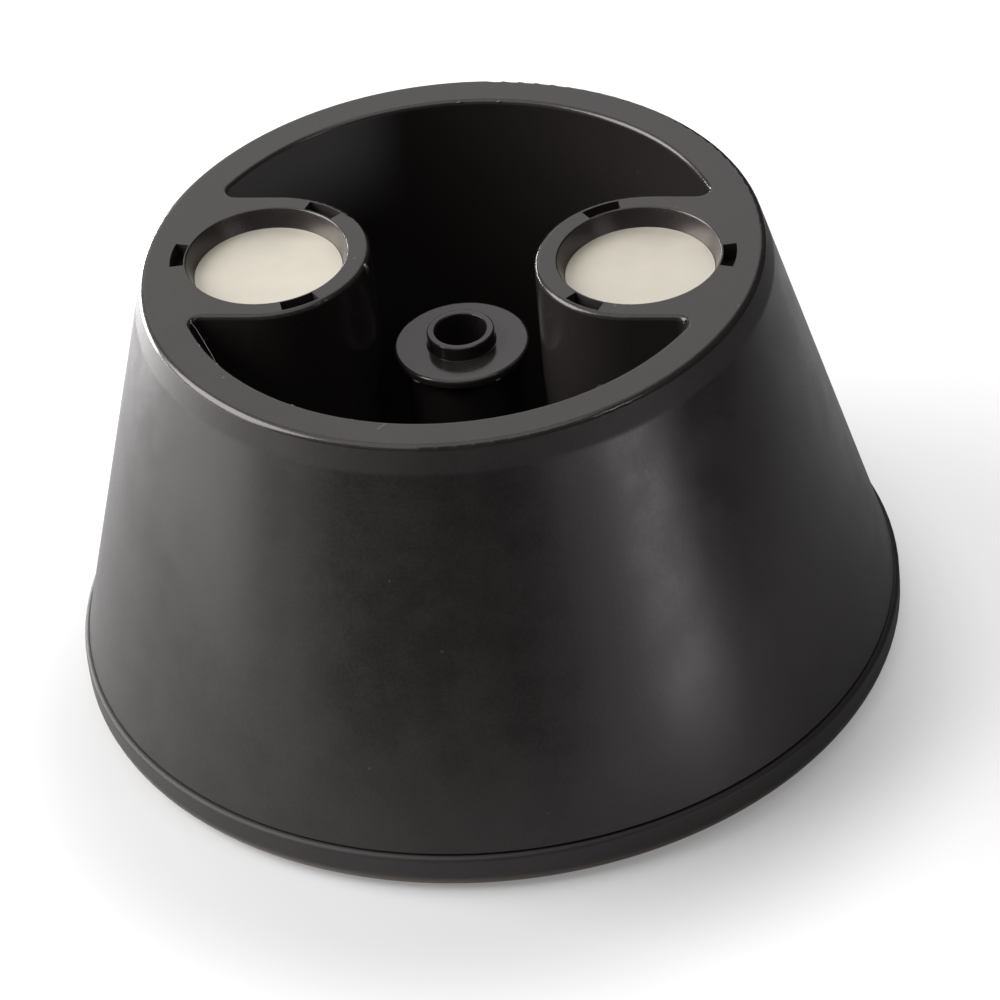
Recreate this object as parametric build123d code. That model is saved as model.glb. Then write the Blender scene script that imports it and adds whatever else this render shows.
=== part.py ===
from build123d import *
import os
from math import cos, radians, sin, tan

# Conical rotor body of a small bench centrifuge.
# All sizes are in millimetres. The origin is on the axis, on the plane the rotor stands on,
# with +Z up the axis. The two magnet pods lie along the X axis.

# ---- overall form of the cone ----
body_top = 75.2             # height of the flat top rim above the resting plane
cone_foot_radius = 67.7     # outer radius of the cone where it meets the base cap
seam_height = 6.9           # height of the ledge of the base cap that carries the cone
skin_wall = 2.6             # outer conical skin, measured level
rim_edge_radius = 1.2       # rounding of the top rim's outer edge
seam_gap = 0.4              # height of the shadow gap above the ledge
seam_gap_depth = 1.1        # how far the shadow gap runs in

# ---- hollow in the middle ----
rim_width = 6.4             # level width of the top face between the hollow and the cone's outside
hollow_wall = 2.2           # wall between the hollow and the space behind it
floor_top = 10.5            # upper face of the hollow's floor
floor_thickness = 2.6
draft_angle = 1.0           # moulding draft of the hollow and of the column
hollow_edge_radius = 0.8    # rounding where the hollow meets the top face
corner_radius = 1.8         # rounding of the narrow corners beside the pods

# ---- magnet pods ----
pod_radius = 16.7           # outer radius of the pod's rounded end
pod_wall = 0.9
pod_to_hub = 2.5            # gap between a pod's end and the flange of the shaft hub
pod_to_rim = 3.4            # between a pod's circle and the outer radius of the top rim

# ---- wells over the magnets ----
well_depth = 3.1            # depth of the magnet's face below the top face
well_top_radius = 13.2
well_face_radius = 12.1     # radius of the magnet's face left in view
well_edge_radius = 0.3
window_inner_radius = 13.5  # windows that the catches are formed through
window_setback = 0.1        # how far the windows stop short of the socket's wall
window_length = 6.0         # along the circle
window_count = 3

# ---- magnets and their fastening ----
magnet_radius = 12.5
magnet_thickness = 5.0
magnet_edge = 0.5           # chamfer round a magnet's faces
keeper_thickness = 1.5
holder_floor = 2.0
magnet_clearance = 0.1      # around a magnet and its keeper, in the holder
holder_clearance = 0.2      # between the holder and the pod's socket
catch_reach = 1.0           # how far a catch runs in under the holder
catch_height = 2.4

# ---- central column and shaft hub ----
column_radius = 9.5         # radius of the column under the hub's flange
column_foot = 3.0           # lower end of the column above the resting plane
column_foot_radius = 2.0    # fillet between the column and the floor
column_bore_radius = 5.2    # free bore between the hub and the drive insert
hub_flange_depth = 17.2     # depth of the flange's face below the top rim
hub_flange_radius = 11.0
hub_flange_thickness = 1.6
hub_flange_edge = 0.5
hub_sleeve_height = 2.5     # how far the sleeve stands above the flange
hub_sleeve_radius = 5.5
hub_sleeve_edge = 0.3
hub_sleeve_fillet = 0.25
hub_spigot_radius = 6.4
hub_spigot_length = 14.0
hub_bore_radius = 4.2
bond_gap = 0.05             # film of adhesive around a bonded spigot or insert
insert_radius = 7.0
insert_length = 18.0
insert_bore_radius = 4.05
insert_slot_width = 2.5
insert_slot_depth = 3.0

# ---- base cap ----
cap_overhang = 0.8          # how far the cap stands out round the cone's foot, rounded off above
cap_edge_radius = 3.4       # rounding of the cap's lower edge
cap_foot_width = 4.4        # width of the flat ring that the cap stands on
cap_dish_depth = 1.2        # how far the underside is dished inside that ring
cap_plate = 2.5
cap_spigot_wall = 2.0
cap_spigot_height = 4.0
cap_spigot_clearance = 0.15
cap_collar_wall = 2.0
cap_collar_height = 3.0
cap_collar_clearance = 0.4

# ---- ribs, bosses and screws that join the cap to the cone ----
rib_angles = (50, 90, 130, 230, 270, 310)
rib_thickness = 2.0
boss_radius = 4.0
boss_inset = 3.0            # between the cap's pads and its spigot
boss_height = 16.0
pilot_radius = 1.5
pilot_depth = 12.0
screw_shank_radius = 1.4
screw_length = 12.0
screw_head_radius = 3.0
screw_head_height = 2.2
screw_head_edge = 0.5
screw_recess_depth = 1.3
screw_recess_width = 0.9
screw_recess_span = 3.6
screw_hole_radius = 1.8
counterbore_radius = 3.4
counterbore_floor = 3.0     # thickness left between the screw's head and the cone's boss

# ---- worked out from the sizes above ----
pod_offset = hub_flange_radius + pod_to_hub + pod_radius    # distance of each magnet from the axis
top_radius = pod_offset + pod_radius + pod_to_rim           # outer radius of the top rim
hollow_radius = top_radius - rim_width                      # radius of the hollow's opening
cone_slope = (cone_foot_radius - top_radius) / (body_top - seam_height)
socket_radius = pod_radius - pod_wall
window_outer_radius = socket_radius - window_setback
holder_radius = socket_radius - holder_clearance
plate_underside = body_top - well_depth
holder_height = magnet_thickness + keeper_thickness + holder_floor
holder_bottom = plate_underside - holder_height
flange_top = body_top - hub_flange_depth
flange_bottom = flange_top - hub_flange_thickness
register_radius = cone_foot_radius - skin_wall
spigot_radius = register_radius - cap_spigot_clearance
boss_circle_radius = spigot_radius - cap_spigot_wall - boss_inset - boss_radius
cap_radius = cone_foot_radius + cap_overhang
plate_top = cap_dish_depth + cap_plate
cut_overrun = 1.0           # how far a cutting tool runs past the face it opens
same_place = 0.01           # edges nearer than this to where they should be are the ones meant
arc_middle = radians(45)    # where the middle of a quarter-round lies


def cone_radius(height):
    """Outer radius of the cone at a height."""
    return top_radius + (body_top - height) * cone_slope


def ring(outer, inner, bottom, top):
    """A plain ring about the axis."""
    height = top - bottom
    tube = Cylinder(outer, height) - Cylinder(inner, height)
    return Pos(0, 0, bottom + height / 2) * tube


def rod(radius, bottom, top):
    """A plain rod about the axis."""
    height = top - bottom
    return Pos(0, 0, bottom + height / 2) * Cylinder(radius, height)


def revolved(points):
    """A closed outline of (radius, height) points turned once about the axis."""
    outline = make_face(Polyline(*[(r, 0, z) for r, z in points], close=True))
    return revolve(outline, Axis.Z)


def hollow_sketch(radius, pod_outline_radius):
    """The hollow's outline: a circle less the two U-shaped pods."""
    outline = Circle(radius)
    for side in (-1, 1):
        round_end = Pos(side * pod_offset, 0) * Circle(pod_outline_radius)
        shank = Pos(side * (pod_offset + radius / 2), 0) * Rectangle(radius, 2 * pod_outline_radius)
        outline -= round_end + shank
    return outline


def hollow_cut():
    """The space of the hollow, narrowing downwards by the draft."""
    outline = hollow_sketch(hollow_radius, pod_radius)
    corners = [v for v in outline.vertices() if Vector(v.X, v.Y, 0).length > hollow_radius - same_place]
    outline = fillet(corners, corner_radius)
    depth = body_top - floor_top
    return extrude(Plane.XY.offset(body_top) * outline, amount=-depth, taper=draft_angle)


def hollow_shell():
    """The hollow with its wall and floor, as a solid block."""
    outline = hollow_sketch(hollow_radius + hollow_wall, pod_radius - pod_wall)
    depth = body_top - floor_top + floor_thickness
    return extrude(Plane.XY.offset(body_top) * outline, amount=-depth, taper=draft_angle)


def cone_block():
    """The solid frustum, with its rounded rim and the shadow gap at its foot."""
    block = revolved([
        (0, seam_height), (cone_foot_radius, seam_height),
        (top_radius, body_top), (0, body_top),
    ])
    rim = block.edges().filter_by(GeomType.CIRCLE).sort_by(Axis.Z)[-1]
    block = fillet(rim, rim_edge_radius)
    gap = ring(
        cone_foot_radius + cut_overrun, cone_foot_radius - seam_gap_depth,
        seam_height - cut_overrun, seam_height + seam_gap,
    )
    return block - gap


def skin_space():
    """Everything inside the conical skin, below the top plate."""
    register_top = seam_height + cap_spigot_height + cap_spigot_clearance
    return revolved([
        (0, seam_height - cut_overrun), (register_radius, seam_height - cut_overrun),
        (register_radius, register_top), (cone_radius(register_top) - skin_wall, register_top),
        (cone_radius(plate_underside) - skin_wall, plate_underside), (0, plate_underside),
    ])


def pod_sockets():
    """Round walls under the top plate that guide the magnet holders, with their catches."""
    bottom = holder_bottom - catch_height
    root = socket_radius + pod_wall / 2
    wedge = revolved([
        (socket_radius - catch_reach, holder_bottom), (root, holder_bottom),
        (root, bottom), (socket_radius, bottom),
    ])
    length = window_length - 2 * holder_clearance
    keep = Pos(socket_radius, 0, holder_bottom - catch_height / 2) * Box(
        2 * (catch_reach + pod_wall), length, catch_height)
    socket = ring(pod_radius, socket_radius, bottom, plate_underside)
    for index in range(window_count):
        socket += Rot(0, 0, index * 360 / window_count) * (wedge & keep)
    return [
        Pos(-pod_offset, 0, 0) * Rot(0, 0, 180) * socket,
        Pos(pod_offset, 0, 0) * socket,
    ]


def ribs_and_bosses():
    """Radial ribs in the space behind the hollow, each with a screw boss at its foot."""
    rib_bottom = seam_height + boss_height / 2
    rib_height = plate_underside - rib_bottom
    rib_reach = cone_foot_radius - hollow_radius
    rib = Pos(hollow_radius + rib_reach / 2, 0, rib_bottom + rib_height / 2) * Box(
        rib_reach, rib_thickness, rib_height)
    boss = Pos(boss_circle_radius, 0, 0) * rod(boss_radius, seam_height, seam_height + boss_height)
    return [Rot(0, 0, angle) * (rib + boss) for angle in rib_angles]


def well_cut():
    """The flared opening over a magnet."""
    return revolved([
        (0, body_top + cut_overrun), (well_top_radius, body_top + cut_overrun),
        (well_top_radius, body_top), (well_face_radius, plate_underside),
        (well_face_radius, plate_underside - cut_overrun), (0, plate_underside - cut_overrun),
    ])


def window_cut():
    """One window through the top plate, as a sector of a ring."""
    half_angle = window_length / (window_inner_radius + window_outer_radius)
    band = ring(
        window_outer_radius, window_inner_radius,
        plate_underside - cut_overrun, body_top + cut_overrun,
    )
    reach = 2 * window_outer_radius
    half_width = reach * tan(half_angle)
    wedge = make_face(Polyline((0, 0), (reach, -half_width), (reach, half_width), close=True))
    return band & extrude(wedge, body_top + cut_overrun)


def circles_at(body, radius, height):
    """The circular edges of a body with this radius, at this height."""
    return [
        e for e in body.edges().filter_by(GeomType.CIRCLE)
        if abs(e.radius - radius) < same_place and abs(e.center().Z - height) < same_place
    ]


def hollow_rim(body):
    """The edges where the hollow meets the top face."""
    return [
        e for e in body.edges()
        if abs(e.center().Z - body_top) < same_place
        and all(Vector(v.X, v.Y, 0).length < hollow_radius + same_place for v in e.vertices())
        and not (e.geom_type == GeomType.CIRCLE and corner_radius < e.radius < pod_radius - same_place)
    ]


def column_bores():
    """The stepped bore through the column, for the hub's spigot and the drive insert."""
    below = column_foot - cut_overrun
    above = flange_bottom + cut_overrun
    return [
        rod(column_bore_radius, below, above),
        rod(hub_spigot_radius + bond_gap, flange_bottom - hub_spigot_length, above),
        rod(insert_radius + bond_gap, below, column_foot + insert_length),
    ]


def pilot_holes():
    """The blind holes in the bosses that the cap's screws cut their threads in."""
    hole = rod(pilot_radius, seam_height - cut_overrun, seam_height + pilot_depth)
    return [Rot(0, 0, angle) * Pos(boss_circle_radius, 0, 0) * hole for angle in rib_angles]


def rotor_cone():
    """The one-piece moulding: skin, rim, hollow, pods, ribs, bosses and column."""
    column = rod(column_radius, column_foot, flange_bottom)
    void = skin_space() - hollow_shell() - rod(column_radius, column_foot, plate_underside)
    for piece in ribs_and_bosses() + pod_sockets():
        void -= piece
    body = cone_block() - void - (hollow_cut() - column) + column
    body = fillet(circles_at(body, column_radius, floor_top), column_foot_radius)
    for side in (-1, 1):
        body -= Pos(side * pod_offset, 0, 0) * well_cut()
    body = fillet(circles_at(body, well_top_radius, body_top), well_edge_radius)
    body = fillet(hollow_rim(body), hollow_edge_radius)
    for side in (-1, 1):
        for index in range(window_count):
            turn = Rot(0, 0, index * 360 / window_count + (0 if side > 0 else 180))
            body -= Pos(side * pod_offset, 0, 0) * turn * window_cut()
    for cut in column_bores() + pilot_holes():
        body -= cut
    return body


def base_cap():
    """The dished cap that closes the wide end and that the rotor stands on."""
    foot_outer = cap_radius - cap_edge_radius
    foot_inner = foot_outer - cap_foot_width
    hole = column_radius + cap_collar_clearance
    shoulder_bottom = seam_height - cap_overhang
    lower = ThreePointArc(
        (foot_outer, 0),
        (foot_outer + cap_edge_radius * sin(arc_middle),
         cap_edge_radius * (1 - cos(arc_middle))),
        (cap_radius, cap_edge_radius),
    )
    upper = ThreePointArc(
        (cap_radius, shoulder_bottom),
        (cone_foot_radius + cap_overhang * cos(arc_middle),
         shoulder_bottom + cap_overhang * sin(arc_middle)),
        (cone_foot_radius, seam_height),
    )
    spigot_top = seam_height + cap_spigot_height
    inner_line = Polyline(
        (cone_foot_radius, seam_height), (spigot_radius, seam_height),
        (spigot_radius, spigot_top), (spigot_radius - cap_spigot_wall, spigot_top),
        (spigot_radius - cap_spigot_wall, plate_top),
        (hole + cap_collar_wall, plate_top), (hole + cap_collar_wall, plate_top + cap_collar_height),
        (hole, plate_top + cap_collar_height), (hole, cap_dish_depth),
        (foot_inner - cap_dish_depth, cap_dish_depth), (foot_inner, 0), (foot_outer, 0),
    )
    outline = make_face([lower, Line((cap_radius, cap_edge_radius), (cap_radius, shoulder_bottom)),
                         upper, inner_line])
    cap = revolve(Plane.XZ * outline, Axis.Z)
    for angle in rib_angles:
        pad = Pos(boss_circle_radius, 0, (cap_dish_depth + seam_height) / 2) * Cylinder(
            boss_radius, seam_height - cap_dish_depth)
        cap += Rot(0, 0, angle) * pad
    for angle in rib_angles:
        hole_cut = rod(screw_hole_radius, -cut_overrun, seam_height + cut_overrun)
        bore = rod(counterbore_radius, -cut_overrun, seam_height - counterbore_floor)
        cap -= Rot(0, 0, angle) * Pos(boss_circle_radius, 0, 0) * (hole_cut + bore)
    return cap


def shaft_hub():
    """Flanged sleeve bonded into the top of the column."""
    sleeve_top = flange_top + hub_sleeve_height
    hub = rod(hub_flange_radius, flange_bottom, flange_top)
    hub = fillet(hub.edges().filter_by(GeomType.CIRCLE), hub_flange_edge)
    hub += rod(hub_sleeve_radius, flange_bottom, sleeve_top)
    hub = fillet(circles_at(hub, hub_sleeve_radius, flange_top), hub_sleeve_fillet)
    hub += rod(hub_spigot_radius, flange_bottom - hub_spigot_length, flange_bottom)
    hub -= rod(hub_bore_radius, 0, body_top)
    mouth = [
        e for e in hub.edges().filter_by(GeomType.CIRCLE)
        if abs(e.center().Z - sleeve_top) < same_place
    ]
    return fillet(mouth, hub_sleeve_edge)


def drive_insert():
    """Metal insert in the foot of the column, with a cross slot for the drive pin."""
    top = column_foot + insert_length
    insert = rod(insert_radius, column_foot, top) - rod(insert_bore_radius, 0, body_top)
    slot = Pos(0, 0, column_foot + (insert_slot_depth - cut_overrun) / 2) * Box(
        4 * insert_radius, insert_slot_width, insert_slot_depth + cut_overrun)
    return insert - slot


def magnet(side):
    middle = plate_underside - magnet_thickness / 2
    disc = Cylinder(magnet_radius, magnet_thickness)
    disc = chamfer(disc.edges().filter_by(GeomType.CIRCLE), magnet_edge)
    return Pos(side * pod_offset, 0, middle) * disc


def keeper(side):
    """Steel disc that closes the field behind a magnet."""
    middle = plate_underside - magnet_thickness - keeper_thickness / 2
    return Pos(side * pod_offset, 0, middle) * Cylinder(magnet_radius, keeper_thickness)


def holder(side):
    """Cup that carries a magnet and its keeper, snapped over the pod's catches."""
    pocket_radius = magnet_radius + magnet_clearance
    cup = rod(holder_radius, holder_bottom, plate_underside)
    cup -= rod(pocket_radius, holder_bottom + holder_floor, plate_underside + cut_overrun)
    return Pos(side * pod_offset, 0, 0) * cup


def cap_screws():
    """The six screws of the base cap, heads down."""
    seat = seam_height - counterbore_floor
    head_bottom = seat - screw_head_height
    head = rod(screw_head_radius, head_bottom, seat)
    head = fillet(head.edges().filter_by(GeomType.CIRCLE).sort_by(Axis.Z)[0], screw_head_edge)
    recess = Pos(0, 0, head_bottom + screw_recess_depth / 2)
    for turn in (0, 90):
        head -= recess * Rot(0, 0, turn) * Box(screw_recess_span, screw_recess_width, screw_recess_depth)
    screw = head + rod(screw_shank_radius, seat, seat + screw_length)
    return Compound(children=[
        Rot(0, 0, angle) * Pos(boss_circle_radius, 0, 0) * screw for angle in rib_angles
    ])


os.makedirs("parts", exist_ok=True)
export_step(rotor_cone(), "parts/rotor_cone.step")
export_step(base_cap(), "parts/base_cap.step")
export_step(shaft_hub(), "parts/shaft_hub.step")
export_step(drive_insert(), "parts/drive_insert.step")
export_step(cap_screws(), "parts/cap_screws.step")
for side, place in ((-1, "left"), (1, "right")):
    export_step(magnet(side), "parts/magnet_" + place + ".step")
    export_step(keeper(side), "parts/keeper_" + place + ".step")
    export_step(holder(side), "parts/holder_" + place + ".step")
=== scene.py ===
"""Looks for a conical rotor body: moulded black plastic, two plated magnets and a shaft hub.

Run as a script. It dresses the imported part, adds the fine pieces that the frame leaves out,
and sets a plain pale stage with soft lamps and a camera.
"""

import math

import bmesh
import bpy
from mathutils import Matrix, Quaternion, Vector


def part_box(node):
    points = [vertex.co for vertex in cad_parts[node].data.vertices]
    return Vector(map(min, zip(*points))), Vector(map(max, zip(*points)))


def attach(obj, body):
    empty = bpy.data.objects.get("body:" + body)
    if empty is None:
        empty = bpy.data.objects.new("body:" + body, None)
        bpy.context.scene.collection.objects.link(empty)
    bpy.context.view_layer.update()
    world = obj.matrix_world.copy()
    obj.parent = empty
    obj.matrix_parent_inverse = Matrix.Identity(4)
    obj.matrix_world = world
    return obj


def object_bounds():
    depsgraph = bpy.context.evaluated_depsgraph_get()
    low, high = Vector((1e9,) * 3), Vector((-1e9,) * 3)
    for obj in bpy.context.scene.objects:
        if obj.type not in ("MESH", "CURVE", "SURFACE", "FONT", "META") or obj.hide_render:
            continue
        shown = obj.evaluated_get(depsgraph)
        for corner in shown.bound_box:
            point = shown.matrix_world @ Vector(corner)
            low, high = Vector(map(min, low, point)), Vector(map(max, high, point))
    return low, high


bl_info = {
    "name": "Conical rotor dresser",
    "version": (1, 0, 0),
    "blender": (4, 5, 0),
    "location": "View3D > Sidebar > Rotor",
    "description": "Finishes a moulded conical rotor body and sets its stage",
    "category": "Object",
}

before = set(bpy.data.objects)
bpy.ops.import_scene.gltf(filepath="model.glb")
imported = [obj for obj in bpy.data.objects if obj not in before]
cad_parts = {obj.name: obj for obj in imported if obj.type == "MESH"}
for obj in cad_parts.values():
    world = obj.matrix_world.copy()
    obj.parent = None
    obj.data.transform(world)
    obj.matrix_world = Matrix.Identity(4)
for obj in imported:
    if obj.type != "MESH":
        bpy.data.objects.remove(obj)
CAD_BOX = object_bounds()
MM = 0.001


# ---- sizes read from the frame ----

def node_centre(name):
    """Middle of a node's box."""
    low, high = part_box(name)
    return (low + high) / 2


BODY_TOP = CAD_BOX[1].z
POD_OFFSET = node_centre("magnet_right").x

# ---- limits of the finishes on the cone and the hub ----

WELL_TOP_RADIUS = 13.2 * MM
POD_RADIUS = 16.3 * MM         # a little inside the pod's wall
HOLLOW_RADIUS = 44.6 * MM      # a little outside the hollow's wall
RIM_EDGE_RADIUS = 1.2 * MM     # rounding of the rim's outer edge
RIM_FLAT_RADIUS = 49.2 * MM    # the level top ends just outside this
SIDE_RISE = 0.251              # upward share of the cone's outward normal
SLEEVE_FOOT_INNER = 5.3 * MM   # the ring round the foot of the hub's sleeve
SLEEVE_FOOT_OUTER = 6.1 * MM
SLEEVE_FOOT_FADE = 0.2 * MM

# ---- colours and finishes of small areas ----

DUST_COLOUR = (0.24, 0.225, 0.21, 1)
# painted shade: one flat colour on the hollow's walls, tuned to how bright their shade looks
PAINTED_HOLLOW_SHADE = (0.022, 0.019, 0.018, 1)
# painted sheen: pale colour painted on one side of the hollow's wall as a highlight
PAINTED_SHEEN_COLOUR = (0.21, 0.2, 0.205, 1)
SCRATCH_COLOUR = (0.09, 0.08, 0.072, 1)
# painted reflection: pale warm colour on what faces down on the cap, standing in for the table's reflection
TABLE_REFLECTION_COLOUR = (0.19, 0.16, 0.138, 1)
ZINC_COLOUR = (0.56, 0.57, 0.58)
BRASS_COLOUR = (0.72, 0.52, 0.24)
SMOOTH_ROUGHNESS = 0.2         # the hollow, the burnished edges and the wells
COLLAR_ADDED_ROUGHNESS = 0.24
DULL_ROUGHNESS = 0.6           # the cap's lip and the holders
FLASH_ROUGHNESS = 0.2
MAGNET_ROUGHNESS = 0.55
ZINC_ROUGHNESS = 0.3
BRASS_ROUGHNESS = 0.25
MAGNET_METALLIC = 0.75
PLAIN_SPECULAR = 0.5
WELL_SPECULAR = 0.85
# painted shade: the reflection is cut in the rounded foot of the hub's sleeve
SLEEVE_FOOT_SHADE_SPECULAR = 0.12
HOLDER_SPECULAR = 0.2
# painted shade: the cap's lip, which faces up, is darkened by this factor
LIP_PAINTED_SHADE = 0.6                # these three multiply the plastic's own colour
# painted shade: the holders' plastic is darkened for their place deep inside the pods
HOLDER_PAINTED_SHADE = 0.5
# painted highlight: the flash threads are made lighter than the plastic so they read as thin light lines
FLASH_PAINTED_HIGHLIGHT = 2.5
NOISE_LOW, NOISE_HIGH = 0.3, 0.7


def round_the_rotor(azimuth, elevation, distance):
    """A point round the rotor: azimuth 0 is in front, along -Y, and 90 is to the right."""
    a, e = math.radians(azimuth), math.radians(elevation)
    return Vector((math.sin(a) * math.cos(e), -math.cos(a) * math.cos(e), math.sin(e))) * distance


# ---- node-tree helpers ----

def add_node(tree, kind, label="", **settings):
    """Adds a node of a kind, and sets its plain properties."""
    node = tree.nodes.new(kind)
    node.label = label
    for key, value in settings.items():
        setattr(node, key, value)
    return node


def feed(tree, node, **values):
    """Sets sockets by name: a socket is linked and a plain value is written. _ in a name is a space."""
    for key, value in values.items():
        socket = node.inputs[key.replace("_", " ")]
        if isinstance(value, bpy.types.NodeSocket):
            tree.links.new(value, socket)
        else:
            socket.default_value = value
    return node


def maths(tree, operation, first, second=0.0, clamp=False):
    """One Math node, returning its result."""
    node = add_node(tree, "ShaderNodeMath", operation=operation, use_clamp=clamp)
    for socket, value in zip(node.inputs, (first, second)):
        if isinstance(value, bpy.types.NodeSocket):
            tree.links.new(value, socket)
        else:
            socket.default_value = value
    return node.outputs[0]


def ramp(tree, value, low, high, to_low=0.0, to_high=1.0):
    """A clamped Map Range node, returning its result."""
    node = add_node(tree, "ShaderNodeMapRange", interpolation_type="SMOOTHSTEP")
    feed(tree, node, Value=value, From_Min=low, From_Max=high, To_Min=to_low, To_Max=to_high)
    return node.outputs[0]


def blend(tree, kind, factor, first, second, label=""):
    """A Mix node of colours (RGBA), vectors (VECTOR) or values (FLOAT), returning its result."""
    node = add_node(tree, "ShaderNodeMix", label, data_type=kind)
    feed(tree, node, Factor=factor, A=first, B=second)
    return node.outputs["Result"]


def shade(colour, factor):
    """A colour made lighter or darker, with full alpha."""
    return (*[min(1, c * factor) for c in colour], 1)


def new_group(name, inputs, outputs):
    """An empty shader node group with named float or vector sockets."""
    group = bpy.data.node_groups.new(name, "ShaderNodeTree")
    for label, kind, default in inputs:
        socket = group.interface.new_socket(label, in_out="INPUT", socket_type=kind)
        socket.default_value = default
    for label, kind in outputs:
        group.interface.new_socket(label, in_out="OUTPUT", socket_type=kind)
    return group, group.nodes.new("NodeGroupInput"), group.nodes.new("NodeGroupOutput")


def place_group(tree, name, **values):
    """Places a shared group in a material."""
    node = add_node(tree, "ShaderNodeGroup", node_tree=bpy.data.node_groups[name])
    return feed(tree, node, **values)


# ---- shared effects ----

FLOAT = "NodeSocketFloat"
VECTOR = "NodeSocketVector"


def make_moulded_grain():
    """Fine spark-eroded grain of a moulding, with a slow mottle under it."""
    group, taken, given = new_group(
        "Moulded grain",
        [("Grain Size", FLOAT, 0.35 * MM), ("Mottle Size", FLOAT, 14 * MM)],
        [("Height", FLOAT), ("Mottle", FLOAT)],
    )
    where = add_node(group, "ShaderNodeTexCoord").outputs["Object"]
    fine = add_node(group, "ShaderNodeTexNoise", "grain")
    feed(group, fine, Vector=where, Scale=maths(group, "DIVIDE", 1.0, taken.outputs["Grain Size"]),
         Detail=3.0, Roughness=0.6)
    slow = add_node(group, "ShaderNodeTexNoise", "mottle")
    feed(group, slow, Vector=where, Scale=maths(group, "DIVIDE", 1.0, taken.outputs["Mottle Size"]),
         Detail=4.0, Roughness=0.55)
    group.links.new(fine.outputs["Fac"], given.inputs["Height"])
    group.links.new(slow.outputs["Fac"], given.inputs["Mottle"])


def make_dust():
    """Sparse pale specks that settle on what faces up."""
    group, taken, given = new_group(
        "Settled dust",
        [("Speck Spacing", FLOAT, 2.4 * MM), ("Amount", FLOAT, 0.4)],
        [("Mask", FLOAT)],
    )
    where = add_node(group, "ShaderNodeTexCoord").outputs["Object"]
    cells = add_node(group, "ShaderNodeTexVoronoi", "specks")
    feed(group, cells, Vector=where, Randomness=1.0,
         Scale=maths(group, "DIVIDE", 1.0, taken.outputs["Speck Spacing"]))
    speck = ramp(group, cells.outputs["Distance"], 0.03, 0.07, 1.0, 0.0)
    chosen = maths(group, "GREATER_THAN", cells.outputs["Color"], 0.7)
    up = add_node(group, "ShaderNodeSeparateXYZ")
    group.links.new(add_node(group, "ShaderNodeNewGeometry").outputs["Normal"], up.inputs[0])
    facing = ramp(group, up.outputs["Z"], 0.0, 0.9, 0.35, 1.0)
    mask = maths(group, "MULTIPLY", maths(group, "MULTIPLY", speck, chosen), facing)
    group.links.new(maths(group, "MULTIPLY", mask, taken.outputs["Amount"]), given.inputs["Mask"])


def split_position(group):
    """The shaded point's own X, Y and Z."""
    where = add_node(group, "ShaderNodeSeparateXYZ")
    group.links.new(add_node(group, "ShaderNodeTexCoord").outputs["Object"], where.inputs[0])
    return where.outputs


def split_normal(group):
    """The surface normal's X, Y and Z."""
    facing = add_node(group, "ShaderNodeSeparateXYZ")
    group.links.new(add_node(group, "ShaderNodeNewGeometry").outputs["Normal"], facing.inputs[0])
    return facing.outputs


def distance_from(group, across, along):
    """Distance in plan, from two offsets."""
    squares = maths(group, "ADD", maths(group, "MULTIPLY", across, across),
                    maths(group, "MULTIPLY", along, along))
    return maths(group, "SQRT", squares)


def make_plan_masks():
    """Masks in plan: inside the wells' mouths, and inside the hollow but outside both pods."""
    group, taken, given = new_group(
        "Wells and hollow",
        [("Pod Offset", FLOAT, POD_OFFSET), ("Well Radius", FLOAT, WELL_TOP_RADIUS),
         ("Pod Radius", FLOAT, POD_RADIUS), ("Hollow Radius", FLOAT, HOLLOW_RADIUS),
         ("Top", FLOAT, BODY_TOP), ("Softness", FLOAT, 0.25 * MM)],
        [("Wells", FLOAT), ("Hollow", FLOAT)],
    )
    sizes = taken.outputs
    at = split_position(group)
    across = maths(group, "SUBTRACT", maths(group, "ABSOLUTE", at["X"]), sizes["Pod Offset"])
    from_pod = distance_from(group, across, at["Y"])
    from_axis = distance_from(group, at["X"], at["Y"])

    def inside(distance, radius):
        beyond = maths(group, "DIVIDE", maths(group, "SUBTRACT", distance, radius), sizes["Softness"])
        return ramp(group, beyond, -1.0, 1.0, 1.0, 0.0)

    group.links.new(inside(from_pod, sizes["Well Radius"]), given.inputs["Wells"])
    below = maths(group, "SUBTRACT", sizes["Top"], at["Z"])
    deep = ramp(group, below, 0.35 * MM, 0.8 * MM)
    open_part = maths(group, "MULTIPLY", inside(from_axis, sizes["Hollow Radius"]),
                      maths(group, "SUBTRACT", 1.0, inside(from_pod, sizes["Pod Radius"])))
    group.links.new(maths(group, "MULTIPLY", deep, open_part), given.inputs["Hollow"])


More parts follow.
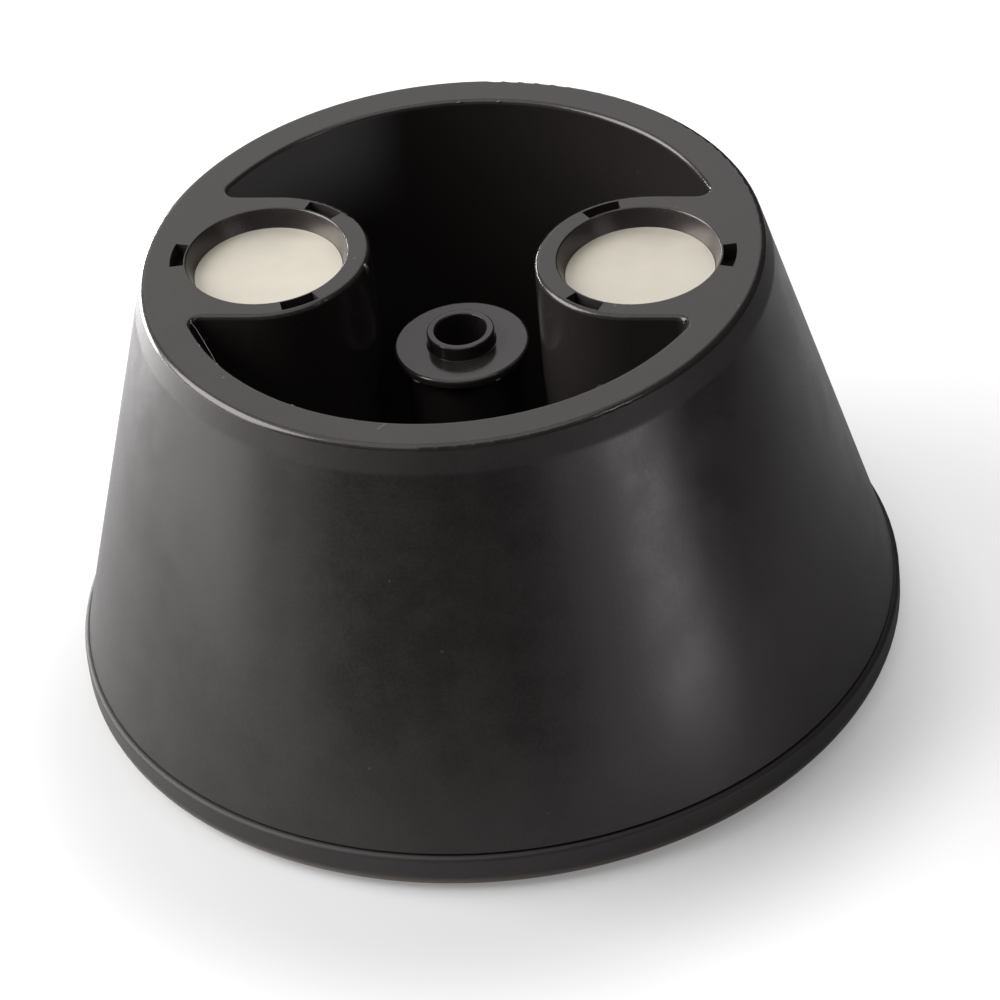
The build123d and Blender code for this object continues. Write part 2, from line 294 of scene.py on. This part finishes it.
def make_turned_rim():
    """The exact outward normal of the cone and its rounded rim, in place of the mesh's coarser one."""
    group, taken, given = new_group(
        "Turned rim",
        [("Top", FLOAT, BODY_TOP), ("Edge Radius", FLOAT, RIM_EDGE_RADIUS),
         ("Flat Radius", FLOAT, RIM_FLAT_RADIUS), ("Side Rise", FLOAT, SIDE_RISE)],
        [("Normal", VECTOR), ("Rise", FLOAT)],
    )
    sizes, at, facing = taken.outputs, split_position(group), split_normal(group)
    from_axis = distance_from(group, at["X"], at["Y"])
    out_x, out_y = (maths(group, "DIVIDE", at[axis], from_axis) for axis in "XY")
    outward = maths(group, "ADD", maths(group, "MULTIPLY", facing["X"], out_x),
                    maths(group, "MULTIPLY", facing["Y"], out_y))
    outside = maths(group, "GREATER_THAN", maths(group, "ADD", outward, facing["Z"]), 0.7)
    turned = maths(group, "MULTIPLY", outside, maths(group, "GREATER_THAN", from_axis, sizes["Flat Radius"]))
    below = maths(group, "SUBTRACT", sizes["Top"], at["Z"])
    share = maths(group, "SUBTRACT", 1.0, maths(group, "DIVIDE", below, sizes["Edge Radius"]), clamp=True)
    rise = maths(group, "MAXIMUM", share, sizes["Side Rise"])
    lean = maths(group, "SQRT", maths(group, "SUBTRACT", 1.0, maths(group, "MULTIPLY", rise, rise)))
    exact = add_node(group, "ShaderNodeCombineXYZ")
    feed(group, exact, X=maths(group, "MULTIPLY", lean, out_x),
         Y=maths(group, "MULTIPLY", lean, out_y), Z=rise)
    own = add_node(group, "ShaderNodeNewGeometry").outputs["Normal"]
    group.links.new(blend(group, "VECTOR", turned, own, exact.outputs[0]), given.inputs["Normal"])
    group.links.new(blend(group, "FLOAT", turned, facing["Z"], rise), given.inputs["Rise"])


def make_top_masks():
    """Masks near the top face: its rounded edges, and the collar just under its rim."""
    group, taken, given = new_group(
        "Edges and collar",
        [("Top", FLOAT, BODY_TOP), ("Edge Height", FLOAT, 0.9 * MM), ("Collar Height", FLOAT, 4.5 * MM)],
        [("Edges", FLOAT), ("Collar", FLOAT)],
    )
    below = maths(group, "SUBTRACT", taken.outputs["Top"], split_position(group)["Z"])
    up = place_group(group, "Turned rim").outputs["Rise"]
    rounded = maths(group, "MULTIPLY", ramp(group, up, 0.3, 0.45), ramp(group, up, 0.9, 0.985, 1.0, 0.0))
    near_top = maths(group, "LESS_THAN", below, taken.outputs["Edge Height"])
    group.links.new(maths(group, "MULTIPLY", rounded, near_top), given.inputs["Edges"])
    share = maths(group, "DIVIDE", below, taken.outputs["Collar Height"])
    steep = ramp(group, up, 0.3, 0.5, 1.0, 0.0)
    collar = maths(group, "MULTIPLY", ramp(group, share, 0.9, 1.15, 1.0, 0.0), steep)
    group.links.new(collar, given.inputs["Collar"])


def make_painted_wall_sheen():
    """A painted sheen: a soft pale highlight painted on one side of the hollow's wall, fading with depth."""
    group, taken, given = new_group(
        "Painted wall sheen",
        [("Side X", FLOAT, -0.766), ("Side Y", FLOAT, 0.643), ("Narrow", FLOAT, 0.99), ("Wide", FLOAT, 0.84),
         ("Top", FLOAT, BODY_TOP), ("Depth", FLOAT, 22 * MM)],
        [("Mask", FLOAT)],
    )
    at = split_position(group)
    sizes = taken.outputs
    along = maths(group, "ADD", maths(group, "MULTIPLY", at["X"], sizes["Side X"]),
                  maths(group, "MULTIPLY", at["Y"], sizes["Side Y"]))
    share = maths(group, "DIVIDE", along, distance_from(group, at["X"], at["Y"]))
    side = ramp(group, share, sizes["Wide"], sizes["Narrow"])
    below = maths(group, "DIVIDE", maths(group, "SUBTRACT", sizes["Top"], at["Z"]), sizes["Depth"])
    group.links.new(maths(group, "MULTIPLY", side, ramp(group, below, 0.1, 1.0, 1.0, 0.0)),
                    given.inputs["Mask"])


def make_facing_masks():
    """Masks by slope: what faces up, and what turns under towards the table."""
    group, taken, given = new_group(
        "Up and under", [("Under Start", FLOAT, -0.05)], [("Up", FLOAT), ("Under", FLOAT)])
    up = split_normal(group)["Z"]
    group.links.new(ramp(group, up, 0.2, 0.5), given.inputs["Up"])
    turn = maths(group, "SUBTRACT", taken.outputs["Under Start"], up)
    group.links.new(ramp(group, turn, 0.0, 0.6), given.inputs["Under"])


def make_scratch():
    """One short straight scratch on the top face."""
    group, taken, given = new_group(
        "Short scratch",
        [("Start X", FLOAT, -4.4 * MM), ("Start Y", FLOAT, -44.3 * MM), ("Lean", FLOAT, 0.77),
         ("Length", FLOAT, 1.5 * MM), ("Half Width", FLOAT, 0.18 * MM)],
        [("Mask", FLOAT)],
    )
    at = split_position(group)
    down = maths(group, "SUBTRACT", taken.outputs["Start Y"], at["Y"])
    side = maths(group, "SUBTRACT", at["X"], taken.outputs["Start X"])
    leaned = maths(group, "MULTIPLY", down, taken.outputs["Lean"])
    off_line = maths(group, "ABSOLUTE", maths(group, "ADD", side, leaned))
    thin = maths(group, "LESS_THAN", off_line, taken.outputs["Half Width"])
    started = maths(group, "GREATER_THAN", down, 0.0)
    ended = maths(group, "LESS_THAN", down, taken.outputs["Length"])
    group.links.new(maths(group, "MULTIPLY", thin, maths(group, "MULTIPLY", started, ended)),
                    given.inputs["Mask"])


# ---- materials ----

def new_material(name):
    """A material with an empty node tree, a Principled shader and its output."""
    material = bpy.data.materials.new(name)
    material.use_nodes = True
    tree = material.node_tree
    tree.nodes.clear()
    shader = add_node(tree, "ShaderNodeBsdfPrincipled")
    output = add_node(tree, "ShaderNodeOutputMaterial")
    tree.links.new(shader.outputs["BSDF"], output.inputs["Surface"])
    return material, tree, shader


def black_plastic(name, colour, roughness, grain_depth, dust_amount=0.3):
    """Moulded black plastic, with grain, a slow mottle and a little dust. Returns its parts to build on."""
    material, tree, shader = new_material(name)
    grain = place_group(tree, "Moulded grain", Grain_Size=0.5 * MM, Mottle_Size=8 * MM).outputs
    dust = place_group(tree, "Settled dust", Speck_Spacing=4.5 * MM, Amount=dust_amount).outputs["Mask"]
    mottle = ramp(tree, grain["Mottle"], NOISE_LOW, NOISE_HIGH)
    fine = ramp(tree, grain["Height"], NOISE_LOW, NOISE_HIGH)
    uneven = blend(tree, "FLOAT", 0.5, mottle, fine, "mottle and grain")
    base = blend(tree, "RGBA", uneven, shade(colour, 0.76), shade(colour, 1.24), "uneven colour")
    rough = ramp(tree, mottle, 0.0, 1.0, roughness - 0.02, roughness + 0.03)
    rough = maths(tree, "ADD", rough, ramp(tree, fine, 0.0, 1.0, -0.015, 0.02))
    shader.inputs["IOR"].default_value = 1.5
    shader.inputs["Specular Tint"].default_value = (1.0, 0.94, 0.955, 1)
    look = {"base": base, "rough": rough, "dust": dust, "height": grain["Height"], "depth": grain_depth}
    return material, tree, shader, look


def finish_plastic(tree, shader, look):
    """Lays the dust, and links the colour, roughness and grain to the shader."""
    base = blend(tree, "RGBA", look["dust"], look["base"], DUST_COLOUR, "dust")
    feed(tree, shader, Base_Color=base, Roughness=look["rough"])
    bump = add_node(tree, "ShaderNodeBump")
    feed(tree, bump, Height=look["height"], Distance=look["depth"], Strength=0.6)
    if "normal" in look:
        feed(tree, bump, Normal=look["normal"])
    tree.links.new(bump.outputs["Normal"], shader.inputs["Normal"])


def cone_plastic(colour, roughness, grain_depth):
    """The cone's plastic: polished wells, a smooth hollow with painted shade and a painted sheen, a rougher
    collar and burnished edges.
    """
    material, tree, shader, look = black_plastic("Cone plastic", colour, roughness, grain_depth)
    plan = place_group(tree, "Wells and hollow").outputs
    top = place_group(tree, "Edges and collar").outputs
    smooth = maths(tree, "MAXIMUM", plan["Wells"], plan["Hollow"])
    edges = maths(tree, "MULTIPLY", top["Edges"], maths(tree, "SUBTRACT", 1.0, plan["Wells"]))
    # painted sheen: a pale highlight painted on one side of the hollow's wall
    sheen = maths(tree, "MULTIPLY", plan["Hollow"], place_group(tree, "Painted wall sheen").outputs["Mask"])
    # painted shade: the hollow's walls take one flat colour, tuned to how bright their shade looks
    base = blend(tree, "RGBA", plan["Hollow"], look["base"], PAINTED_HOLLOW_SHADE, "hollow")
    base = blend(tree, "RGBA", sheen, base, PAINTED_SHEEN_COLOUR, "painted wall sheen")
    scratch = place_group(tree, "Short scratch").outputs["Mask"]
    look["base"] = blend(tree, "RGBA", scratch, base, SCRATCH_COLOUR, "scratch")
    rough = blend(tree, "FLOAT", top["Collar"], look["rough"], roughness + COLLAR_ADDED_ROUGHNESS, "collar")
    rough = blend(tree, "FLOAT", plan["Hollow"], rough, SMOOTH_ROUGHNESS, "smooth hollow")
    rough = blend(tree, "FLOAT", edges, rough, SMOOTH_ROUGHNESS, "burnished edges")
    look["rough"] = blend(tree, "FLOAT", plan["Wells"], rough, SMOOTH_ROUGHNESS, "polished wells")
    look["height"] = maths(tree, "MULTIPLY", look["height"], maths(tree, "SUBTRACT", 1.0, smooth))
    look["normal"] = place_group(tree, "Turned rim").outputs["Normal"]
    tree.links.new(ramp(tree, plan["Wells"], 0.0, 1.0, PLAIN_SPECULAR, WELL_SPECULAR),
                   shader.inputs["Specular IOR Level"])
    finish_plastic(tree, shader, look)
    return material


def cap_plastic(colour, roughness, grain_depth):
    """The cap's plastic: a dull upper lip darkened as painted shade, and a pale painted reflection of the
    table on what faces down.
    """
    material, tree, shader, look = black_plastic("Cap plastic", colour, roughness, grain_depth, 0.0)
    slope = place_group(tree, "Up and under").outputs
    # painted shade: what faces up on the cap is darkened
    base = blend(tree, "RGBA", slope["Up"], look["base"], shade(colour, LIP_PAINTED_SHADE), "lip")
    # painted reflection: the pale table's reflection painted on what faces down
    look["base"] = blend(tree, "RGBA", slope["Under"], base, TABLE_REFLECTION_COLOUR, "painted table reflection")
    look["rough"] = blend(tree, "FLOAT", slope["Up"], look["rough"], DULL_ROUGHNESS, "lip")
    finish_plastic(tree, shader, look)
    return material


def hub_plastic(colour, roughness, grain_depth):
    """The hub's smoother plastic, with painted shade in the rounded foot of its sleeve, where its reflection
    is cut.
    """
    material, tree, shader, look = black_plastic("Hub plastic", colour, roughness, grain_depth)
    at = split_position(tree)
    from_axis = distance_from(tree, at["X"], at["Y"])
    begun = ramp(tree, from_axis, SLEEVE_FOOT_INNER, SLEEVE_FOOT_INNER + SLEEVE_FOOT_FADE)
    kept = ramp(tree, from_axis, SLEEVE_FOOT_OUTER - SLEEVE_FOOT_FADE, SLEEVE_FOOT_OUTER, 1.0, 0.0)
    foot = maths(tree, "MULTIPLY", begun, kept)
    slope = split_normal(tree)["Z"]
    curved = maths(tree, "MULTIPLY", foot, ramp(tree, slope, 0.9, 0.99, 1.0, 0.0))
    # painted shade: the reflection is cut in the sleeve's rounded foot
    tree.links.new(ramp(tree, curved, 0.0, 1.0, PLAIN_SPECULAR, SLEEVE_FOOT_SHADE_SPECULAR),
                   shader.inputs["Specular IOR Level"])
    finish_plastic(tree, shader, look)
    return material


def holder_plastic(colour, grain_depth):
    """The holders' dull plastic, darkened as painted shade for their place deep inside, seen only through the
    windows.
    """
    darker = shade(colour, HOLDER_PAINTED_SHADE)[:3]
    material, tree, shader, look = black_plastic("Holder plastic", darker, DULL_ROUGHNESS, grain_depth, 0.0)
    shader.inputs["Specular IOR Level"].default_value = HOLDER_SPECULAR
    finish_plastic(tree, shader, look)
    return material


def plated_metal(name, colour, roughness, metallic=1.0):
    """Satin plating with a faint haze."""
    material, tree, shader = new_material(name)
    grain = place_group(tree, "Moulded grain", Grain_Size=0.12 * MM, Mottle_Size=9 * MM)
    haze = ramp(tree, grain.outputs["Mottle"], NOISE_LOW, NOISE_HIGH)
    tint = blend(tree, "RGBA", haze, shade(colour, 0.95), shade(colour, 1.03), "haze")
    rough = ramp(tree, grain.outputs["Mottle"], NOISE_LOW, NOISE_HIGH, roughness - 0.04, roughness + 0.05)
    feed(tree, shader, Base_Color=tint, Roughness=rough)
    shader.inputs["Metallic"].default_value = metallic
    bump = add_node(tree, "ShaderNodeBump")
    feed(tree, bump, Height=grain.outputs["Height"], Distance=0.004 * MM, Strength=0.5)
    tree.links.new(bump.outputs["Normal"], shader.inputs["Normal"])
    return material


def dress(names, material):
    """Gives CAD nodes a material."""
    for name in names:
        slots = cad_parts[name].data.materials
        slots.clear()
        slots.append(material)


# ---- what a user may change ----

class RotorFinish(bpy.types.PropertyGroup):
    """Colours and finishes."""
    plastic_colour: bpy.props.FloatVectorProperty(
        name="Plastic colour", description="Colour of the black moulded plastic",
        subtype="COLOR", size=3, min=0, max=1, default=(0.0235, 0.0205, 0.0198))
    cone_roughness: bpy.props.FloatProperty(
        name="Cone roughness", description="Roughness of the cone's surface",
        min=0, max=1, default=0.32, subtype="FACTOR")
    cap_roughness: bpy.props.FloatProperty(
        name="Cap roughness", description="Roughness of the base cap",
        min=0, max=1, default=0.42, subtype="FACTOR")
    hub_roughness: bpy.props.FloatProperty(
        name="Hub roughness", description="Roughness of the shaft hub",
        min=0, max=1, default=0.16, subtype="FACTOR")
    grain_depth: bpy.props.FloatProperty(
        name="Grain depth", description="Depth of the moulding's fine grain",
        min=0, default=0.02 * MM, subtype="DISTANCE", unit="LENGTH", precision=5)
    plating_colour: bpy.props.FloatVectorProperty(
        name="Plating colour", description="Colour of the magnets' plating",
        subtype="COLOR", size=3, min=0, max=1, default=(0.70, 0.655, 0.565))


class RotorStage(bpy.types.PropertyGroup):
    """Camera, floor and lamps."""
    view_azimuth: bpy.props.FloatProperty(
        name="View azimuth", description="How far to the right the camera faces the part from",
        default=math.radians(11.10), subtype="ANGLE", unit="ROTATION")
    view_dip: bpy.props.FloatProperty(
        name="View dip", description="How far the camera's line of sight dips below the horizon",
        default=math.radians(37.79), subtype="ANGLE", unit="ROTATION")
    view_roll: bpy.props.FloatProperty(
        name="View roll", description="Tilt of the camera about its own line of sight",
        default=math.radians(-6.52), subtype="ANGLE", unit="ROTATION")
    view_place: bpy.props.FloatVectorProperty(
        name="View place", description="Where the camera stands, from the middle of the top face",
        default=(140.25 * MM, -697.93 * MM, 501.58 * MM), size=3, subtype="TRANSLATION", unit="LENGTH")
    lens: bpy.props.FloatProperty(
        name="Lens", description="Focal length on a 36 mm wide sensor, in millimetres",
        default=195.67, min=10)
    floor_radius: bpy.props.FloatProperty(
        name="Floor radius", description="Radius of the round pale table",
        default=0.22, min=0.1, subtype="DISTANCE", unit="LENGTH")
    floor_middle: bpy.props.FloatVectorProperty(
        name="Floor middle", description="Middle of the round pale table",
        default=(-0.02, 0.07, -0.05 * MM), size=3, subtype="TRANSLATION", unit="LENGTH")
    lamp_level: bpy.props.FloatProperty(
        name="Lamp level", description="Multiplies the power of all lamps",
        default=1.0, min=0, subtype="FACTOR", soft_max=2)


# ---- operators: one for each piece or group of like pieces ----

class ROTOR_OT_finish_cone(bpy.types.Operator):
    """Gives the moulded cone its grained black plastic, polished in the wells"""
    bl_idname = "rotor.finish_cone"
    bl_label = "Finish cone"

    def execute(self, context):
        finish = context.scene.rotor_finish
        dress(["rotor_cone"], cone_plastic(finish.plastic_colour, finish.cone_roughness, finish.grain_depth))
        return {"FINISHED"}


class ROTOR_OT_finish_cap(bpy.types.Operator):
    """Gives the base cap its grained black plastic"""
    bl_idname = "rotor.finish_cap"
    bl_label = "Finish cap"

    def execute(self, context):
        finish = context.scene.rotor_finish
        dress(["base_cap"], cap_plastic(finish.plastic_colour, finish.cap_roughness, finish.grain_depth))
        return {"FINISHED"}


class ROTOR_OT_finish_hub(bpy.types.Operator):
    """Gives the shaft hub its smooth satin plastic"""
    bl_idname = "rotor.finish_hub"
    bl_label = "Finish hub"

    def execute(self, context):
        finish = context.scene.rotor_finish
        dress(["shaft_hub"],
              hub_plastic(finish.plastic_colour, finish.hub_roughness, finish.grain_depth / 2))
        return {"FINISHED"}


class ROTOR_OT_finish_holders(bpy.types.Operator):
    """Gives both magnet holders their dull plastic"""
    bl_idname = "rotor.finish_holders"
    bl_label = "Finish holders"

    def execute(self, context):
        finish = context.scene.rotor_finish
        dress(["holder_left", "holder_right"], holder_plastic(finish.plastic_colour, finish.grain_depth))
        return {"FINISHED"}


class ROTOR_OT_finish_magnets(bpy.types.Operator):
    """Gives both magnets their warm satin plating"""
    bl_idname = "rotor.finish_magnets"
    bl_label = "Finish magnets"

    def execute(self, context):
        finish = context.scene.rotor_finish
        plating = plated_metal("Magnet plating", finish.plating_colour, MAGNET_ROUGHNESS, MAGNET_METALLIC)
        dress(["magnet_left", "magnet_right"], plating)
        return {"FINISHED"}


class ROTOR_OT_finish_hidden_metal(bpy.types.Operator):
    """Gives the keepers, screws and drive insert their metals"""
    bl_idname = "rotor.finish_hidden_metal"
    bl_label = "Finish hidden metal"

    def execute(self, context):
        dress(["keeper_left", "keeper_right", "cap_screws"],
              plated_metal("Zinc plating", ZINC_COLOUR, ZINC_ROUGHNESS))
        dress(["drive_insert"], plated_metal("Turned brass", BRASS_COLOUR, BRASS_ROUGHNESS))
        return {"FINISHED"}


# Threads of mould flash: where they are centred along X, then points as azimuth, radius and depth
# below the top face, and last the thickness. Azimuth 0 is in front and 90 is to the right.
CONE_FLASH = (
    (0, ((-65.9, 43.5, 0.1), (-62.6, 43.2, 0.05), (-59.4, 43.2, 0.05), (-55.5, 43.45, 0.05),
         (-52.4, 43.75, 0.1), (-49.3, 44.3, 0.2)), 0.14),
    (0, ((-66.5, 43.2, 0.25), (-65.9, 43.3, 0.15), (-65.1, 43.5, 0.25)), 0.34),
    (0, ((-57.9, 44.3, 0.2), (-57.0, 44.3, 0.1), (-56.1, 44.3, 0.2)), 0.26),
    (0, ((-50.0, 44.3, 0.25), (-49.0, 44.3, 0.15), (-47.9, 44.35, 0.25)), 0.30),
    (0, ((65.2, 43.1, 0.3), (66.0, 43.0, 0.2), (66.8, 42.9, 0.3)), 0.32),
    (0, ((-27.4, 44.2, 0.25), (-26.5, 44.2, 0.15), (-25.6, 44.2, 0.25)), 0.16),
    (0, ((-13.8, 44.3, 0.25), (-12.8, 44.3, 0.15), (-11.8, 44.3, 0.25)), 0.16),
    (0, ((38.2, 44.0, 0.3), (39.0, 44.0, 0.2), (39.8, 44.0, 0.3)), 0.16),
    (0, ((-175.0, 44.1, 0.3), (-174.3, 44.05, 0.2), (-173.6, 44.1, 0.3)), 0.30),
    (0, ((176.3, 44.1, 0.3), (177.0, 44.05, 0.2), (177.7, 44.1, 0.3)), 0.30),
    (-30.2, ((82.5, 16.45, 0.15), (81.5, 16.85, 0.6), (81.0, 16.9, 1.2), (80.5, 16.8, 2.1)), 0.75),
)
HUB_FLASH = (
    (0, ((-39.0, 11.05, 18.5), (-35.0, 11.1, 18.45), (-31.0, 11.05, 18.5)), 0.35),
    (0, ((36.5, 11.05, 18.5), (39.0, 11.1, 18.45), (41.5, 11.05, 18.5)), 0.32),
)


def flash_path(centre, points, steps=5):
    """Places a thread's points, with straight steps between them."""
    placed = [Vector((centre * MM, 0, BODY_TOP)) + round_the_rotor(azimuth, 0, radius * MM)
              - Vector((0, 0, depth * MM)) for azimuth, radius, depth in points]
    path = [a.lerp(b, step / steps) for a, b in zip(placed, placed[1:]) for step in range(steps)]
    return path + [placed[-1]]


def sweep_thread(shape, path, thickness):
    """Sweeps a thread along a path, swollen in the middle and fine at both ends."""
    rings = []
    for index, point in enumerate(path):
        ahead = path[min(index + 1, len(path) - 1)] - path[max(index - 1, 0)]
        share = index / (len(path) - 1)
        radius = thickness * MM / 2 * (0.3 + 0.7 * math.sin(math.pi * share) ** 0.5)
        turn = ahead.to_track_quat("Z", "Y").to_matrix().to_4x4()
        made = bmesh.ops.create_circle(shape, cap_ends=index in (0, len(path) - 1), radius=radius,
                                       segments=10, matrix=Matrix.Translation(point) @ turn)
        inside = set(made["verts"])
        rings.append([e for e in shape.edges if e.verts[0] in inside and e.verts[1] in inside])
    for first, second in zip(rings, rings[1:]):
        bmesh.ops.bridge_loops(shape, edges=first + second)


def make_flash(name, threads, material):
    """One object of several threads of flash, riding with the part."""
    shape = bmesh.new()
    for centre, points, thickness in threads:
        sweep_thread(shape, flash_path(centre, points), thickness)
    bmesh.ops.recalc_face_normals(shape, faces=shape.faces)
    mesh = bpy.data.meshes.new(name)
    shape.to_mesh(mesh)
    shape.free()
    mesh.shade_smooth()
    mesh.materials.append(material)
    piece = bpy.data.objects.new(name, mesh)
    bpy.context.collection.objects.link(piece)
    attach(piece, "root")


class ROTOR_OT_mould_flash(bpy.types.Operator):
    """Adds the fine threads of flash left on the hollow's edge, one pod and the hub's flange"""
    bl_idname = "rotor.mould_flash"
    bl_label = "Mould flash"

    def execute(self, context):
        finish = context.scene.rotor_finish
        # painted highlight: the flash is coloured lighter than the plastic to show as thin light lines
        material, tree, shader, look = black_plastic(
            "Flash plastic with painted highlight", shade(finish.plastic_colour, FLASH_PAINTED_HIGHLIGHT)[:3], FLASH_ROUGHNESS,
            finish.grain_depth / 5)
        finish_plastic(tree, shader, look)
        make_flash("cone_flash", CONE_FLASH, material)
        make_flash("hub_flash", HUB_FLASH, material)
        return {"FINISHED"}


FLOOR_GREY = 0.45
WORLD_LIGHT = 0.05             # what the white surroundings light; the camera sees them at 1
LAMP_POWER = 4                 # watts for each square metre of lamp, at a brightness of 1

# The table glows a little for the camera alone, more so farther from the part.
GLOW_MIDDLE = (-4 * MM, -20 * MM, 0)
GLOW_NEAR, GLOW_FAR = 58 * MM, 95 * MM
GLOW_LOW, GLOW_HIGH = 0.22, 0.6

LAMPS = (
    # name, azimuth, elevation, distance, width, height, brightness
    ("Left softbox", -84, 35, 1.0, 0.8, 0.8, 6.7),
    ("Left low card", -84, -5, 1.0, 0.8, 0.35, 2.3),
    ("Left front card", -48, -5, 1.0, 0.3, 0.35, 0.7),
    ("Left back card", -130, -4, 1.0, 0.6, 0.4, 30.0),
    ("Back card", 192, 34, 1.0, 0.8, 0.7, 0.88),
    ("Right front card", 42, -3, 1.0, 0.3, 0.25, 0.95),
    ("Right card", 62, -5, 1.0, 0.3, 0.3, 3.3),
    ("Right spot", 66, 42, 1.0, 0.14, 0.14, 6.0),
    ("Top softbox", -60, 82, 1.0, 1.0, 1.0, 1.0),
)


class ROTOR_OT_stage(bpy.types.Operator):
    """Lays the floor, hangs the lamps and places the camera"""
    bl_idname = "rotor.stage"
    bl_label = "Stage"

    def execute(self, context):
        stage = context.scene.rotor_stage
        self.lay_floor(stage)
        self.hang_lamps(stage)
        self.light_world()
        self.place_camera(stage)
        context.scene.view_settings.view_transform = "Standard"
        return {"FINISHED"}

    def lay_floor(self, stage):
        mesh = bpy.data.meshes.new("Floor")
        shape = bmesh.new()
        bmesh.ops.create_circle(shape, cap_ends=True, radius=stage.floor_radius, segments=96,
                                matrix=Matrix.Translation(stage.floor_middle))
        shape.to_mesh(mesh)
        shape.free()
        floor = bpy.data.objects.new("Floor", mesh)
        bpy.context.collection.objects.link(floor)
        material, tree, shader = new_material("Pale floor")
        feed(tree, shader, Base_Color=(FLOOR_GREY, FLOOR_GREY, FLOOR_GREY, 1), Roughness=0.9)
        shader.inputs["Specular IOR Level"].default_value = 0.1
        seen = add_node(tree, "ShaderNodeLightPath").outputs["Is Camera Ray"]
        span = add_node(tree, "ShaderNodeVectorMath", operation="DISTANCE")
        tree.links.new(add_node(tree, "ShaderNodeTexCoord").outputs["Object"], span.inputs[0])
        span.inputs[1].default_value = GLOW_MIDDLE
        lift = ramp(tree, span.outputs["Value"], GLOW_NEAR, GLOW_FAR, GLOW_LOW, GLOW_HIGH)
        feed(tree, shader, Emission_Color=(1, 1, 1, 1), Emission_Strength=maths(tree, "MULTIPLY", seen, lift))
        mesh.materials.append(material)

    def hang_lamps(self, stage):
        for name, azimuth, elevation, distance, width, height, brightness in LAMPS:
            lamp = bpy.data.lights.new(name, "AREA")
            lamp.shape = "RECTANGLE"
            lamp.size = width
            lamp.size_y = height
            lamp.energy = LAMP_POWER * width * height * brightness * stage.lamp_level
            holder = bpy.data.objects.new(name, lamp)
            holder.location = round_the_rotor(azimuth, elevation, distance)
            holder.rotation_euler = (-holder.location).to_track_quat("-Z", "Y").to_euler()
            holder.visible_camera = False
            bpy.context.collection.objects.link(holder)

    def light_world(self):
        world = bpy.data.worlds.new("Studio")
        bpy.context.scene.world = world
        world.use_nodes = True
        tree = world.node_tree
        tree.nodes.clear()
        seen = add_node(tree, "ShaderNodeLightPath").outputs["Is Camera Ray"]
        level = ramp(tree, seen, 0.0, 1.0, WORLD_LIGHT, 1.0)
        back = feed(tree, add_node(tree, "ShaderNodeBackground"), Color=(1, 1, 1, 1), Strength=level)
        output = add_node(tree, "ShaderNodeOutputWorld")
        tree.links.new(back.outputs[0], output.inputs["Surface"])

    def place_camera(self, stage):
        data = bpy.data.cameras.new("Camera")
        data.lens = stage.lens
        camera = bpy.data.objects.new("Camera", data)
        camera.location = Vector((0, 0, BODY_TOP)) + Vector(stage.view_place)
        facing = -round_the_rotor(math.degrees(stage.view_azimuth), math.degrees(stage.view_dip), 1)
        level = facing.to_track_quat("-Z", "Y")
        camera.rotation_mode = "QUATERNION"
        camera.rotation_quaternion = level @ Quaternion((0, 0, 1), stage.view_roll)
        bpy.context.collection.objects.link(camera)
        bpy.context.scene.camera = camera


class ROTOR_PT_panel(bpy.types.Panel):
    """Sidebar panel that lists the rotor's operators and settings"""
    bl_idname = "ROTOR_PT_panel"
    bl_label = "Rotor"
    bl_space_type = "VIEW_3D"
    bl_region_type = "UI"
    bl_category = "Rotor"

    def draw(self, context):
        for group in (context.scene.rotor_finish, context.scene.rotor_stage):
            box = self.layout.box()
            for name in group.bl_rna.properties.keys():
                if name not in ("rna_type", "name"):
                    box.prop(group, name)
        for operator in OPERATORS:
            self.layout.operator(operator.bl_idname)


SETTINGS = (RotorFinish, RotorStage)
OPERATORS = (
    ROTOR_OT_finish_cone, ROTOR_OT_finish_cap, ROTOR_OT_finish_hub, ROTOR_OT_finish_holders,
    ROTOR_OT_finish_magnets, ROTOR_OT_finish_hidden_metal, ROTOR_OT_mould_flash, ROTOR_OT_stage,
)


def register():
    for kind in SETTINGS + OPERATORS + (ROTOR_PT_panel,):
        bpy.utils.register_class(kind)
    bpy.types.Scene.rotor_finish = bpy.props.PointerProperty(type=RotorFinish)
    bpy.types.Scene.rotor_stage = bpy.props.PointerProperty(type=RotorStage)


def unregister():
    del bpy.types.Scene.rotor_finish
    del bpy.types.Scene.rotor_stage
    for kind in reversed(SETTINGS + OPERATORS + (ROTOR_PT_panel,)):
        bpy.utils.unregister_class(kind)


def main():
    """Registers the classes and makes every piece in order."""
    register()
    make_moulded_grain()
    make_dust()
    make_plan_masks()
    make_turned_rim()
    make_top_masks()
    make_painted_wall_sheen()
    make_facing_masks()
    make_scratch()
    for operator in OPERATORS:
        group, name = operator.bl_idname.split(".")
        getattr(getattr(bpy.ops, group), name)()


if __name__ == "__main__":
    main()
